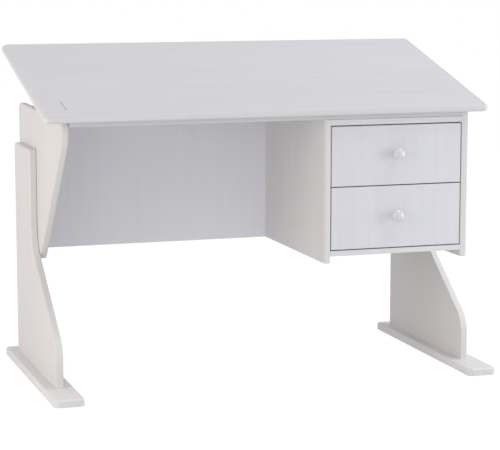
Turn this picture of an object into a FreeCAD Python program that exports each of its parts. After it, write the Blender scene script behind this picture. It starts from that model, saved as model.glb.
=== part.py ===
import FreeCAD, Part
import math
import os

# School desk: a top that tilts on front hinges, a frame that slides up two legs, and a case of two drawers.
# Millimetres. The origin is on the floor in the middle of the feet, with +X right, +Y back and +Z up.
# It is drawn at its lowest height, with the top tilted and both drawers shut.

V = FreeCAD.Vector

# Boards and fits
BOARD = 18.0                # thickness of legs, sides, panels and drawer fronts
CASE_BOARD = 15.0           # thickness of the drawer case's left wall and top board
SHELF = 13.0                # thickness of the case's bottom board and of the front rail
EASE = 5.0                  # rounding along the edges that are handled
SMALL_EASE = 1.5            # rounding along the front edges of the drawer case
LINE_EASE = 3.0             # rounding along the line between the front rail and the case under it
WALL_EASE = 6.0             # rounding along the outer front edges of the case's walls
FIT = 0.05                  # gap round a screw, dowel or pin in its hole
RUN_GAP = 0.5               # gap between flat faces that slide past each other

# Feet
FOOT_LENGTH = 610.0
FOOT_WIDTH = 72.0
FOOT_HEIGHT = 18.0
FOOT_CORNER = 14.0

# Legs: a boot below, a narrow neck above
LEG_TOP = 550.0
LEG_BACK = 272.0
LEG_TOE = -194.0            # front of the boot
NECK_FRONT = 85.0
TOE_BEND = 118.0            # height at which the toe turns into the slope
NECK_BEND = 318.0           # height at which the slope turns into the neck
TOE_RADIUS = 66.0
NECK_RADIUS = 75.0
LEG_CORNER = 10.0

# Upper frame
PANEL_TOP = 643.0           # upper edge of the sides
SIDE_CORNER = 16.0
SIDE_RISE = 5.0             # upper edges of the sides, from behind the front rail to the back
LEFT_SIDE_SETBACK = 12.0    # front of the left side behind the front of the drawer case
LEFT_SIDE_DROP = 51.0       # from the top of the left side to where its front edge slopes back
LEFT_SIDE_TOE = 65.0        # front end of the left side's lower edge
LEFT_SIDE_RADIUS = 60.0
MODESTY_INSET = 55.0        # modesty panel from the back edges of the sides
CASE_FRONT = -218.0
CASE_FLOOR_RISE = 16.5      # underside of the case bottom board above the lower edge of its walls
DRAWER_OPENING = 340.0      # between the walls of the case
DRAWER_STACK = 302.5        # between the bottom and top boards of the case
RAIL_DEPTH = 80.0           # front rail, from front to back

# Tabletop
TOP_WIDTH = 1100.0
TOP_DEPTH = 543.0
TOP_THICK = 18.0
TOP_CORNER = 16.0
TOP_EASE = 11.0
TOP_UNDER_EASE = 6.0
TOP_OVERHANG = 16.0         # in front of the hinge axis
TOP_SIDE_OVERHANG = 27.0    # beyond the outer faces of the legs
TOP_BACK_OVERHANG = 5.0     # beyond the back edges of the sides, when flat
TOP_GAP = 0.6               # over the frame's upper edges when flat
REST_TILT = 15.0
STEEPEST_TILT = 24.0
MARK_LENGTH = 58.0          # the short routed recess near the front left corner
MARK_WIDTH = 9.0
MARK_DEPTH = 6.0
MARK_FROM_LEFT = 59.0
MARK_FROM_FRONT = 71.5

# Hinges of the top
HINGE_REACH = 4.0           # hinge axis in front of the drawer case
HINGE_WIDTH = 15.0
HINGE_LEAF = 52.0
LEAF_THICK = 2.0
KNUCKLE_RADIUS = 3.5
KNUCKLE_GAP = 0.3
KNUCKLE_RELIEF = 0.7
PIN_RADIUS = 2.0
HINGE_SCREW_INSET = 8.0     # from the end of the leaf
HINGE_SCREW_PITCH = 20.0

# Tilt stays, behind the modesty panel
ARM_WIDTH = 16.0
ARM_THICK = 3.0
ARM_STANDOFF = 30.5         # between the side and the arm
ARM_TAIL = 14.0             # past the far end of the stud's travel
STAY_GAP = 0.4
SLOT_PLAY = 0.45
STUD_RADIUS = 3.0
STUD_INSET = 20.0           # from the back edge of the side
STUD_DROP = 93.0            # below the upper edge of the side
PIVOT_INSET = 12.0          # from the back edge of the side, with the top flat
PIVOT_DROP = 20.6           # below the underside of the top
PIVOT_RADIUS = 3.0
PIVOT_PLAY = 0.1
RIVET_HEAD_RADIUS = 5.0
RIVET_HEAD = 1.6
BRACKET_THICK = 2.5
BRACKET_HALF = 14.0
BRACKET_WIDTH = 27.0
BRACKET_TIP = 9.0           # bracket below the pivot
INSERT_RADIUS = 5.0
INSERT_DEPTH = 12.0
COLLAR_RADIUS = 8.0
COLLAR_THICK = 30.0
STUD_END_GAP = 2.0          # from the end of the stud to the bottom of its insert
GRIP_RADIUS = 16.0
GRIP_LENGTH = 14.0
HUB_RADIUS = 9.0
HUB_LENGTH = 6.0
GRIP_LOBES = 5
SCALLOP_RADIUS = 7.0

# Height clamps
TRACK_INSET = 48.5          # middle of the track in front of the modesty panel
TRACK_WIDTH = 19.0
TRACK_DEPTH = 9.5
TRACK_RISE = 17.0           # above the lower edge of the sides
TRACK_DROP = 20.0           # below the top of the leg
TRACK_LIP = 2.5
TRACK_MOUTH = 7.0
CAVITY_WIDTH = 14.0
CAVITY_DEPTH = 4.8
TRACK_SCREWS = 3
TRACK_SCREW_INSET = 25.0
NUT_GAP = 0.4
NUT_HEIGHT = 18.0
BOLT_RADIUS = 3.0
BOLT_HEAD_RADIUS = 7.5
BOLT_HEAD = 2.5
BOLT_SOCKET = 2.0
BOLT_RISE = 25.0            # lower bolt above the bottom of the track
BOLT_PITCH = 35.0

# Screws as (head radius, shank radius, length)
LEAF_SCREW = (3.5, 1.75, 28.0)
TOP_SCREW = (3.5, 1.75, 14.0)
TRACK_SCREW = (3.0, 1.5, 8.0)
RUNNER_SCREW = (3.5, 1.75, 22.0)
FOOT_SCREW = (5.0, 3.5, 60.0)
PANEL_SCREW = (5.0, 3.5, 50.0)
DRIVE_WIDTH = 1.0
DRIVE_DEPTH = 1.0

# Dowels and cam locks
DOWEL_RADIUS = 4.0
SHELF_DOWEL_RADIUS = 3.0
DOWEL_SHALLOW = 12.0        # depth into the board that it meets face on
DOWEL_DEEP = 22.0           # depth into the end of the other board
FOOT_DOWEL_RADIUS = 5.0
CAM_RADIUS = 7.5
CAM_DEPTH = 12.5
SHELF_CAM_DEPTH = 9.5
CAM_SETBACK = 24.0
CAM_BORE_RADIUS = 4.0
CAM_BOLT_RADIUS = 3.0
CAM_BOLT_HEAD_RADIUS = 3.5
CAM_BOLT_HEAD = 4.0
CAM_BOLT_DEPTH = 11.0
JOINT_INSET = 60.0          # dowels and cams from the edges of a board
CAM_FROM_DOWEL = 32.0

# Drawers
REVEAL = 2.5                # gap round the drawer fronts
FRONT_STEP = 6.0            # lower drawer front taller than the upper one
DRAWER_WALL = 14.0
DRAWER_SIDE_GAP = 4.0       # between a drawer's side and the case
DRAWER_BACK_GAP = 32.0      # behind a shut drawer
DRAWER_DROP = 28.5          # drawer sides below the upper edge of the front
DRAWER_RISE = 8.0           # drawer sides above the lower edge of the front
PANEL_THICK = 4.0           # bottom board of a drawer
PANEL_RISE = 8.0
GROOVE_DEPTH = 6.0
GROOVE_PLAY = 0.1
RUNNER_WIDTH = 10.0
RUNNER_HEIGHT = 14.0
RUNNER_BOLT_GAP = 3.0       # from a runner to the heads of the height bolts behind it
RUNNER_PLAY = 0.3
RUNNER_SCREWS = 3
RUNNER_SCREW_INSET = 40.0
DRAWER_DOWEL_INSET = 25.0   # from the edges of a drawer's side
BACK_DOWEL_DEPTH = 8.0
KNOB_RADIUS = 15.0
KNOB_LENGTH = 24.0
KNOB_RISE = 2.5             # above the middle of the drawer front
KNOB_FOOT_RADIUS = 9.0
KNOB_NECK_RADIUS = 6.5
KNOB_FOOT = 3.0
KNOB_NECK_END = 10.0
KNOB_RIM = 16.0             # widest place, from the drawer front
KNOB_EASE = 2.0             # radius of the rim's bead
KNOB_SCREW_RADIUS = 2.0
KNOB_SCREW_HEAD_RADIUS = 4.0
KNOB_SCREW_HEAD = 2.5
KNOB_SCREW_BITE = 14.0

# Places that follow from these sizes
LEG_OUTER = TOP_WIDTH / 2 - TOP_SIDE_OVERHANG
LEG_INNER = LEG_OUTER - BOARD
FOOT_OUTER = (LEG_INNER + LEG_OUTER + FOOT_WIDTH) / 2
SIDE_OUTER = LEG_INNER - RUN_GAP
SIDE_INNER = SIDE_OUTER - BOARD
SIDE_MIDDLE = (SIDE_OUTER + SIDE_INNER) / 2
DIVIDER_RIGHT = SIDE_INNER - DRAWER_OPENING
DIVIDER_LEFT = DIVIDER_RIGHT - CASE_BOARD
DIVIDER_MIDDLE = (DIVIDER_LEFT + DIVIDER_RIGHT) / 2
LEFT_SIDE_FRONT = CASE_FRONT + LEFT_SIDE_SETBACK
LEFT_SIDE_BEND = PANEL_TOP - LEFT_SIDE_DROP
HINGE_Y = CASE_FRONT - HINGE_REACH
HINGE_Z = PANEL_TOP + TOP_GAP / 2
HINGE_AXIS = V(0, HINGE_Y, HINGE_Z)
TOP_UNDERSIDE = PANEL_TOP + TOP_GAP
TOP_FRONT = HINGE_Y - TOP_OVERHANG
TOP_BACK = TOP_FRONT + TOP_DEPTH
SIDE_BACK = TOP_BACK - TOP_BACK_OVERHANG
MODESTY_BACK = SIDE_BACK - MODESTY_INSET
MODESTY_FRONT = MODESTY_BACK - BOARD
RAIL_UNDERSIDE = PANEL_TOP - SHELF
RAIL_BACK = CASE_FRONT + RAIL_DEPTH
CASE_CEILING = RAIL_UNDERSIDE - CASE_BOARD
CASE_FLOOR = CASE_CEILING - DRAWER_STACK
CASE_UNDERSIDE = CASE_FLOOR - SHELF
PANEL_BOTTOM = CASE_UNDERSIDE - CASE_FLOOR_RISE
TRACK_Y = MODESTY_FRONT - TRACK_INSET
TRACK_BOTTOM = PANEL_BOTTOM + TRACK_RISE
TRACK_TOP = LEG_TOP - TRACK_DROP
TRACK_FLOOR = TRACK_LIP + CAVITY_DEPTH
BOLT_HEIGHTS = (TRACK_BOTTOM + BOLT_RISE, TRACK_BOTTOM + BOLT_RISE + BOLT_PITCH)
NUT_THICK = CAVITY_DEPTH - 2 * NUT_GAP
LAST_HINGE_SCREW = HINGE_LEAF - HINGE_SCREW_INSET
HINGE_SCREWS_AT = (LAST_HINGE_SCREW - HINGE_SCREW_PITCH, LAST_HINGE_SCREW)
BETWEEN_HINGE_SCREWS = HINGE_Y + LAST_HINGE_SCREW - HINGE_SCREW_PITCH / 2
BEHIND_HINGE = (HINGE_Y + HINGE_LEAF + RAIL_BACK) / 2
STUD_POINT = V(0, SIDE_BACK - STUD_INSET, PANEL_TOP - STUD_DROP)
FLAT_PIVOT = V(0, SIDE_BACK - PIVOT_INSET, TOP_UNDERSIDE - PIVOT_DROP)
UPPER_FRONT = (DRAWER_STACK - 3 * REVEAL - FRONT_STEP) / 2
LOWER_FRONT = UPPER_FRONT + FRONT_STEP
FRONT_BACK = CASE_FRONT + BOARD
DRAWER_LENGTH = MODESTY_FRONT - FRONT_BACK - DRAWER_BACK_GAP
RUNNER_START = FRONT_BACK + RUN_GAP
RUNNER_LENGTH = TRACK_Y - BOLT_HEAD_RADIUS - RUNNER_BOLT_GAP - RUNNER_START

RIGHTWARD = V(1, 0, 0)
BACKWARD = V(0, 1, 0)
UPWARD = V(0, 0, 1)

boards = {}                 # one solid each, drilled and grooved at the end
cutters = {}                # what is taken out of each board
hardware = {}               # lists of separate solids


def span(first, second):
    """The two values as a (low, high) pair."""
    return (min(first, second), max(first, second))


def block(x, y, z):
    """A block from its (low, high) pair on each axis."""
    return Part.makeBox(x[1] - x[0], y[1] - y[0], z[1] - z[0], V(x[0], y[0], z[0]))


def rod(radius, start, direction, length):
    return Part.makeCylinder(radius, length, start, direction)


def merged(first, *others):
    return first.multiFuse(list(others)).removeSplitter()


def rounded_plate(corners, thickness):
    """A plate with an outline of (point, radius) corners, extruded along the vector thickness."""
    turns = []
    for index, (point, radius) in enumerate(corners):
        behind = (corners[index - 1][0] - point).normalize()
        ahead = (corners[(index + 1) % len(corners)][0] - point).normalize()
        half_angle = behind.getAngle(ahead) / 2
        reach = radius / math.tan(half_angle)
        bulge = (behind + ahead).normalize() * (radius / math.sin(half_angle) - radius)
        turns.append((point + behind * reach, point + bulge, point + ahead * reach, radius))
    edges = []
    for index, (start, middle, end, radius) in enumerate(turns):
        if radius > 0:
            edges.append(Part.Arc(start, middle, end).toShape())
        edges.append(Part.LineSegment(end, turns[(index + 1) % len(turns)][0]).toShape())
    return Part.Face(Part.Wire(edges)).extrude(thickness)


def eased(shape, radius, chosen):
    """The shape with a rounding along the edges whose bounding box passes the test."""
    return shape.makeFillet(radius, [edge for edge in shape.Edges if chosen(edge.BoundBox)])


def flat_in_x(bounds):
    return bounds.XLength < FIT


def flat_in_z(bounds):
    return bounds.ZLength < FIT


def drill(node, *tools):
    cutters.setdefault(node, []).extend(tools)


def add(node, *solids):
    hardware.setdefault(node, []).extend(solids)


def countersunk(seat, inward, size, grow=0.0):
    """A countersunk screw with its head flush at seat, or with grow the hole for it."""
    head, shank, length = size
    slope = head - shank
    cone = Part.makeCone(head + grow, shank + grow, slope, seat, inward)
    return merged(cone, rod(shank + grow, seat + inward * slope, inward, length - slope))


def screw(node, seat, inward, size, *holes):
    """A countersunk screw with a crossed drive, and its hole in each named board."""
    across = inward.cross(RIGHTWARD) if abs(inward.x) < 0.5 else inward.cross(BACKWARD)
    reach = size[1]
    bars = []
    for direction in (across, inward.cross(across)):
        corner = seat - direction * reach - direction.cross(inward) * (DRIVE_WIDTH / 2)
        outline = [corner, corner + direction * 2 * reach]
        outline += [point + direction.cross(inward) * DRIVE_WIDTH for point in reversed(outline)]
        bars.append(Part.Face(Part.makePolygon(outline + outline[:1])).extrude(inward * DRIVE_DEPTH))
    add(node, countersunk(seat, inward, size).cut(bars))
    for board in holes:
        drill(board, countersunk(seat, inward, size, FIT))


def dowel(node, meeting, into, shallow_board, deep_board, radius=DOWEL_RADIUS,
          shallow=DOWEL_SHALLOW, deep=DOWEL_DEEP):
    """A dowel across the meeting face: shallow ahead along into, deep behind it."""
    start = meeting - into * deep
    add(node, rod(radius, start, into, deep + shallow))
    hole = rod(radius + FIT, start, into, deep + shallow)
    drill(shallow_board, hole)
    drill(deep_board, hole)


def cam_joint(meeting, into, face, wall, shelf, thick=BOARD, cam_depth=CAM_DEPTH):
    """A cam lock in the shelf's face that pulls on a bolt screwed into the wall."""
    centre = meeting - into * CAM_SETBACK
    disc_top = centre + face * (thick / 2)
    bore = rod(CAM_BORE_RADIUS, meeting, into * -1, CAM_SETBACK + CAM_BORE_RADIUS)
    slot_way = face.cross(into)
    slot_start = disc_top - slot_way * CAM_BORE_RADIUS - into * (DRIVE_WIDTH / 2)
    slot = Part.Face(Part.makePolygon([
        slot_start,
        slot_start + slot_way * 2 * CAM_BORE_RADIUS,
        slot_start + slot_way * 2 * CAM_BORE_RADIUS + into * DRIVE_WIDTH,
        slot_start + into * DRIVE_WIDTH,
        slot_start,
    ])).extrude(face * -DRIVE_DEPTH)
    disc = rod(CAM_RADIUS, disc_top, face * -1, cam_depth)
    add("cam_locks", disc.cut([bore, slot]))
    neck = CAM_SETBACK - CAM_BOLT_HEAD / 2
    shank = rod(CAM_BOLT_RADIUS, meeting + into * CAM_BOLT_DEPTH, into * -1, CAM_BOLT_DEPTH + neck)
    head = rod(CAM_BOLT_HEAD_RADIUS, meeting - into * neck, into * -1, CAM_BOLT_HEAD)
    add("cam_bolts", merged(shank, head))
    drill(wall, rod(CAM_BOLT_RADIUS + FIT, meeting, into, CAM_BOLT_DEPTH))
    drill(shelf, bore, rod(CAM_RADIUS + FIT, disc_top, face * -1, cam_depth))


def tilted(solid):
    """A copy of a solid of the flat top, turned about the hinges to the tilt at rest."""
    turned = solid.copy()
    turned.rotate(HINGE_AXIS, RIGHTWARD, REST_TILT)
    return turned


def feet_and_legs():
    for name, side in (("left", -1), ("right", 1)):
        foot, leg = name + "_foot", name + "_leg"
        x = span(side * FOOT_OUTER, side * (FOOT_OUTER - FOOT_WIDTH))
        plan = [V(x[0], -FOOT_LENGTH / 2, 0), V(x[1], -FOOT_LENGTH / 2, 0),
                V(x[1], FOOT_LENGTH / 2, 0), V(x[0], FOOT_LENGTH / 2, 0)]
        slab = rounded_plate([(point, FOOT_CORNER) for point in plan], UPWARD * FOOT_HEIGHT)
        boards[foot] = eased(slab, EASE, lambda box: flat_in_z(box) and box.ZMin > FOOT_HEIGHT / 2)

        start = min(side * LEG_INNER, side * LEG_OUTER)
        outline = [
            (V(start, LEG_TOE, FOOT_HEIGHT), 0.0),
            (V(start, LEG_TOE, TOE_BEND), TOE_RADIUS),
            (V(start, NECK_FRONT, NECK_BEND), NECK_RADIUS),
            (V(start, NECK_FRONT, LEG_TOP), LEG_CORNER),
            (V(start, LEG_BACK, LEG_TOP), LEG_CORNER),
            (V(start, LEG_BACK, FOOT_HEIGHT), 0.0),
        ]
        plate = rounded_plate(outline, RIGHTWARD * BOARD)

        def above_foot(box):
            return flat_in_x(box) and box.ZMax > FOOT_HEIGHT + EASE

        def outer_edge(box):
            return above_foot(box) and abs(box.XMin) > LEG_OUTER - FIT

        plate = eased(plate, EASE, outer_edge)
        boards[leg] = eased(
            plate, SMALL_EASE, lambda box: above_foot(box) and abs(box.XMin) < LEG_INNER + FIT)

        middle = side * (LEG_INNER + LEG_OUTER) / 2
        length = LEG_BACK - LEG_TOE
        for share in (1 / 8, 1 / 2, 7 / 8):
            seat = V(middle, LEG_TOE + length * share, 0)
            screw("foot_screws", seat, UPWARD, FOOT_SCREW, foot, leg)
        for share in (5 / 16, 11 / 16):
            meeting = V(middle, LEG_TOE + length * share, FOOT_HEIGHT)
            dowel("foot_dowels", meeting, UPWARD * -1, foot, leg, FOOT_DOWEL_RADIUS)


def height_clamps():
    for name, side in (("left", -1), ("right", 1)):
        track, leg, wall = name + "_height_track", name + "_leg", name + "_side"
        outward = RIGHTWARD * side

        def depth(near, far):
            return span(side * (LEG_INNER + near), side * (LEG_INNER + far))

        def across(width):
            return (TRACK_Y - width / 2, TRACK_Y + width / 2)

        height = (TRACK_BOTTOM, TRACK_TOP)
        boards[track] = block(depth(0, TRACK_DEPTH), across(TRACK_WIDTH), height)
        drill(track, block(depth(0, TRACK_LIP), across(TRACK_MOUTH), height))
        drill(track, block(depth(TRACK_LIP, TRACK_FLOOR), across(CAVITY_WIDTH), height))
        groove_height = (TRACK_BOTTOM - FIT, TRACK_TOP + FIT)
        drill(leg, block(depth(0, TRACK_DEPTH + FIT), across(TRACK_WIDTH + 2 * FIT), groove_height))

        first = TRACK_BOTTOM + TRACK_SCREW_INSET
        step = (TRACK_TOP - TRACK_BOTTOM - 2 * TRACK_SCREW_INSET) / (TRACK_SCREWS - 1)
        for index in range(TRACK_SCREWS):
            seat = V(side * (LEG_INNER + TRACK_FLOOR), TRACK_Y, first + step * index)
            screw("track_screws", seat, outward, TRACK_SCREW, track, leg)

        reach = BOARD + RUN_GAP + TRACK_LIP + NUT_GAP + NUT_THICK
        for bolt_z in BOLT_HEIGHTS:
            seat = V(side * SIDE_INNER, TRACK_Y, bolt_z)
            head = rod(BOLT_HEAD_RADIUS, seat, outward * -1, BOLT_HEAD)
            socket = rod(BOLT_SOCKET, seat - outward * BOLT_HEAD, outward, BOLT_HEAD / 2)
            add("height_bolts", merged(head, rod(BOLT_RADIUS, seat, outward, reach)).cut(socket))
            drill(wall, rod(BOLT_RADIUS + FIT, seat, outward, BOARD))
            nut_x = depth(TRACK_LIP + NUT_GAP, TRACK_LIP + NUT_GAP + NUT_THICK)
            nut_z = (bolt_z - NUT_HEIGHT / 2, bolt_z + NUT_HEIGHT / 2)
            nut = block(nut_x, across(CAVITY_WIDTH - 2 * NUT_GAP), nut_z)
            add("track_nuts", nut.cut(rod(BOLT_RADIUS + FIT, seat, outward, reach)))


def upper_frame():
    left_outline = [
        (V(-SIDE_OUTER, LEFT_SIDE_FRONT, PANEL_TOP), 0.0),
        (V(-SIDE_OUTER, RAIL_BACK, PANEL_TOP), 0.0),
        (V(-SIDE_OUTER, SIDE_BACK, PANEL_TOP + SIDE_RISE), SIDE_CORNER),
        (V(-SIDE_OUTER, SIDE_BACK, PANEL_BOTTOM), SIDE_CORNER),
        (V(-SIDE_OUTER, LEFT_SIDE_TOE, PANEL_BOTTOM), SIDE_CORNER),
        (V(-SIDE_OUTER, LEFT_SIDE_FRONT, LEFT_SIDE_BEND), LEFT_SIDE_RADIUS),
    ]
    right_outline = [
        (V(SIDE_INNER, CASE_FRONT, PANEL_TOP), 0.0),
        (V(SIDE_INNER, RAIL_BACK, PANEL_TOP), 0.0),
        (V(SIDE_INNER, SIDE_BACK, PANEL_TOP + SIDE_RISE), SIDE_CORNER),
        (V(SIDE_INNER, SIDE_BACK, PANEL_BOTTOM), SIDE_CORNER),
        (V(SIDE_INNER, CASE_FRONT, PANEL_BOTTOM), 0.0),
    ]

    def below_top(box):
        return flat_in_x(box) and box.ZMin < PANEL_TOP - EASE

    def above_bottom(box):
        return below_top(box) and box.ZMax > PANEL_BOTTOM + EASE

    def wall_front(box):
        return flat_in_x(box) and box.YMax < CASE_FRONT + WALL_EASE + FIT

    def in_case(box):
        return DIVIDER_MIDDLE < box.XMin < SIDE_MIDDLE

    def outer_front(box):
        return wall_front(box) and not in_case(box)

    def inner_front(box):
        return wall_front(box) and in_case(box)

    def shelf_front(box):
        return flat_in_z(box) and box.YMax < CASE_FRONT + FIT

    def on_line(box):
        return shelf_front(box) and abs(box.ZMax - RAIL_UNDERSIDE) < FIT

    boards["left_side"] = eased(rounded_plate(left_outline, RIGHTWARD * BOARD), EASE, below_top)
    right_plate = eased(rounded_plate(right_outline, RIGHTWARD * BOARD), WALL_EASE, outer_front)
    boards["right_side"] = eased(
        right_plate, SMALL_EASE, lambda box: above_bottom(box) and not outer_front(box))
    divider = block((DIVIDER_LEFT, DIVIDER_RIGHT), (CASE_FRONT, MODESTY_FRONT), (PANEL_BOTTOM, PANEL_TOP))
    divider = eased(divider, WALL_EASE, outer_front)
    boards["drawer_divider"] = eased(divider, SMALL_EASE, inner_front)
    case_x = (DIVIDER_RIGHT, SIDE_INNER)
    case_y = (CASE_FRONT, MODESTY_FRONT)
    bottom = block(case_x, case_y, (CASE_UNDERSIDE, CASE_FLOOR))
    boards["case_bottom_board"] = eased(bottom, SMALL_EASE, shelf_front)
    ceiling = eased(block(case_x, case_y, (CASE_CEILING, RAIL_UNDERSIDE)), LINE_EASE, on_line)
    boards["case_top_board"] = eased(
        ceiling, SMALL_EASE, lambda box: shelf_front(box) and box.ZMax < CASE_CEILING + FIT)
    rail = block((-SIDE_INNER, SIDE_INNER), (CASE_FRONT, RAIL_BACK), (RAIL_UNDERSIDE, PANEL_TOP))
    boards["front_rail"] = eased(rail, LINE_EASE, on_line)

    # The divider is notched under the rail, and its front end is rounded there too
    divider_x = (DIVIDER_LEFT, DIVIDER_RIGHT)
    drill("drawer_divider", block(divider_x, (CASE_FRONT, RAIL_BACK + FIT), (RAIL_UNDERSIDE, PANEL_TOP)))
    nose_y, nose_z = CASE_FRONT + LINE_EASE, RAIL_UNDERSIDE - LINE_EASE
    corner = block(divider_x, (CASE_FRONT, nose_y), (nose_z, RAIL_UNDERSIDE))
    nose = rod(LINE_EASE, V(DIVIDER_LEFT, nose_y, nose_z), RIGHTWARD, CASE_BOARD)
    drill("drawer_divider", corner.cut(nose))
    modesty = block((-SIDE_INNER, SIDE_INNER), (MODESTY_FRONT, MODESTY_BACK), (PANEL_BOTTOM, PANEL_TOP))
    boards["modesty_panel"] = eased(
        modesty, SMALL_EASE, lambda box: box.YLength < FIT and box.ZMax < PANEL_BOTTOM + FIT)


def frame_joints():
    middle_y = (MODESTY_FRONT + MODESTY_BACK) / 2
    leftward, downward = RIGHTWARD * -1, UPWARD * -1
    right_end = ("right_side", SIDE_INNER, RIGHTWARD)
    for wall, end_x, into in (("left_side", -SIDE_INNER, leftward), right_end):
        for dowel_z, inward in ((PANEL_BOTTOM + JOINT_INSET, 1), (PANEL_TOP - JOINT_INSET, -1)):
            dowel("frame_dowels", V(end_x, middle_y, dowel_z), into, wall, "modesty_panel")
            cam_z = dowel_z + inward * CAM_FROM_DOWEL
            cam_joint(V(end_x, middle_y, cam_z), into, BACKWARD, wall, "modesty_panel")
        for dowel_y in (BETWEEN_HINGE_SCREWS, BEHIND_HINGE):
            meeting = V(end_x, dowel_y, PANEL_TOP - SHELF / 2)
            dowel("frame_dowels", meeting, into, wall, "front_rail", SHELF_DOWEL_RADIUS)
    shelves = (
        ("case_bottom_board", CASE_UNDERSIDE, SHELF, downward),
        ("case_top_board", CASE_CEILING, CASE_BOARD, UPWARD),
    )
    for shelf, low, thick, face in shelves:
        level = low + thick / 2
        for wall, end_x, into in (("drawer_divider", DIVIDER_RIGHT, leftward), right_end):
            for dowel_y, inward in ((CASE_FRONT + JOINT_INSET, 1), (MODESTY_FRONT - JOINT_INSET, -1)):
                dowel("frame_dowels", V(end_x, dowel_y, level), into, wall, shelf, SHELF_DOWEL_RADIUS)
                cam_y = dowel_y + inward * CAM_FROM_DOWEL
                cam_joint(V(end_x, cam_y, level), into, face, wall, shelf, thick, SHELF_CAM_DEPTH)
    for screw_z in (PANEL_BOTTOM + JOINT_INSET, (PANEL_BOTTOM + PANEL_TOP) / 2, PANEL_TOP - JOINT_INSET):
        seat = V(DIVIDER_MIDDLE, MODESTY_BACK, screw_z)
        screw("divider_screws", seat, BACKWARD * -1, PANEL_SCREW, "modesty_panel", "drawer_divider")


def tabletop():
    """The top, drawn flat and turned to its tilt at the end."""
    left, right = -TOP_WIDTH / 2, TOP_WIDTH / 2
    plan = [V(left, TOP_FRONT, TOP_UNDERSIDE), V(right, TOP_FRONT, TOP_UNDERSIDE),
            V(right, TOP_BACK, TOP_UNDERSIDE), V(left, TOP_BACK, TOP_UNDERSIDE)]
    slab = rounded_plate([(point, TOP_CORNER) for point in plan], UPWARD * TOP_THICK)
    surface = TOP_UNDERSIDE + TOP_THICK
    slab = eased(slab, TOP_EASE, lambda box: flat_in_z(box) and box.ZMin > surface - FIT)
    slab = eased(slab, TOP_UNDER_EASE, lambda box: flat_in_z(box) and box.ZMax < TOP_UNDERSIDE + FIT)
    boards["tabletop"] = slab
    mark_x = left + MARK_FROM_LEFT
    mark_y = TOP_FRONT + MARK_FROM_FRONT
    half, radius = (MARK_LENGTH - MARK_WIDTH) / 2, MARK_WIDTH / 2
    mark_z = surface - MARK_DEPTH
    trench = block((mark_x - radius, mark_x + radius), (mark_y - half, mark_y + half), (mark_z, surface))
    ends = [rod(radius, V(mark_x, mark_y + way * half, mark_z), UPWARD, MARK_DEPTH) for way in (-1, 1)]
    drill("tabletop", merged(trench, *ends))


def hinge_leaf(middle_x, plate_z, segments):
    """A leaf behind the hinge axis, with its share of the knuckles as (start, end) pairs across it."""
    left = middle_x - HINGE_WIDTH / 2
    clear = HINGE_Y + KNUCKLE_RADIUS + KNUCKLE_RELIEF
    plate = block((left, left + HINGE_WIDTH), (clear, HINGE_Y + HINGE_LEAF), plate_z)
    pieces = []
    for start, end in segments:
        x = (left + start, left + end)
        pieces.append(block(x, (HINGE_Y, clear), plate_z))
        pieces.append(rod(KNUCKLE_RADIUS, V(x[0], HINGE_Y, HINGE_Z), RIGHTWARD, end - start))
    leaf = merged(plate, *pieces)
    return leaf.cut(rod(PIN_RADIUS + FIT, V(left, HINGE_Y, HINGE_Z), RIGHTWARD, HINGE_WIDTH))


def hinges():
    third = HINGE_WIDTH / 3
    outer = ((0.0, third - KNUCKLE_GAP / 2), (2 * third + KNUCKLE_GAP / 2, HINGE_WIDTH))
    inner = ((third + KNUCKLE_GAP / 2, 2 * third - KNUCKLE_GAP / 2),)
    lower_z = (PANEL_TOP - LEAF_THICK, PANEL_TOP)
    upper_z = (TOP_UNDERSIDE, TOP_UNDERSIDE + LEAF_THICK)
    leaf_end = HINGE_Y + HINGE_LEAF + FIT
    seats = (
        (("left_side",), -SIDE_MIDDLE),
        (("front_rail", "drawer_divider"), DIVIDER_MIDDLE),
        (("right_side",), SIDE_MIDDLE),
    )
    for holders, middle in seats:
        x = (middle - HINGE_WIDTH / 2 - FIT, middle + HINGE_WIDTH / 2 + FIT)
        lower, upper = hinge_leaf(middle, lower_z, outer), hinge_leaf(middle, upper_z, inner)
        drill(holders[0], block(x, (HINGE_Y, leaf_end), lower_z))
        drill("tabletop", block(x, (HINGE_Y, leaf_end), upper_z))
        relief = KNUCKLE_RADIUS + KNUCKLE_RELIEF
        relief_x = x[0] - KNUCKLE_RELIEF
        relief_length = x[1] - x[0] + 2 * KNUCKLE_RELIEF
        drill("tabletop", rod(relief, V(relief_x, HINGE_Y, HINGE_Z), RIGHTWARD, relief_length))
        for offset in HINGE_SCREWS_AT:
            lower_seat = V(middle, HINGE_Y + offset, PANEL_TOP)
            upper_seat = V(middle, HINGE_Y + offset, TOP_UNDERSIDE)
            screw("hinge_lower_screws", lower_seat, UPWARD * -1, LEAF_SCREW, *holders)
            screw("hinge_upper_screws", upper_seat, UPWARD, TOP_SCREW, "tabletop")
            lower = lower.cut(countersunk(lower_seat, UPWARD * -1, LEAF_SCREW, FIT))
            upper = upper.cut(countersunk(upper_seat, UPWARD, TOP_SCREW, FIT))
        add("hinge_lower_leaves", lower)
        add("hinge_upper_leaves", upper)
        pin_start = V(middle - HINGE_WIDTH / 2, HINGE_Y, HINGE_Z)
        add("hinge_pins", rod(PIN_RADIUS, pin_start, RIGHTWARD, HINGE_WIDTH))


def pivot_at(tilt):
    """Where the stay's pivot is when the top is tilted by so many degrees."""
    turn = FreeCAD.Rotation(RIGHTWARD, tilt)
    return HINGE_AXIS + turn.multVec(FLAT_PIVOT - HINGE_AXIS)


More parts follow.
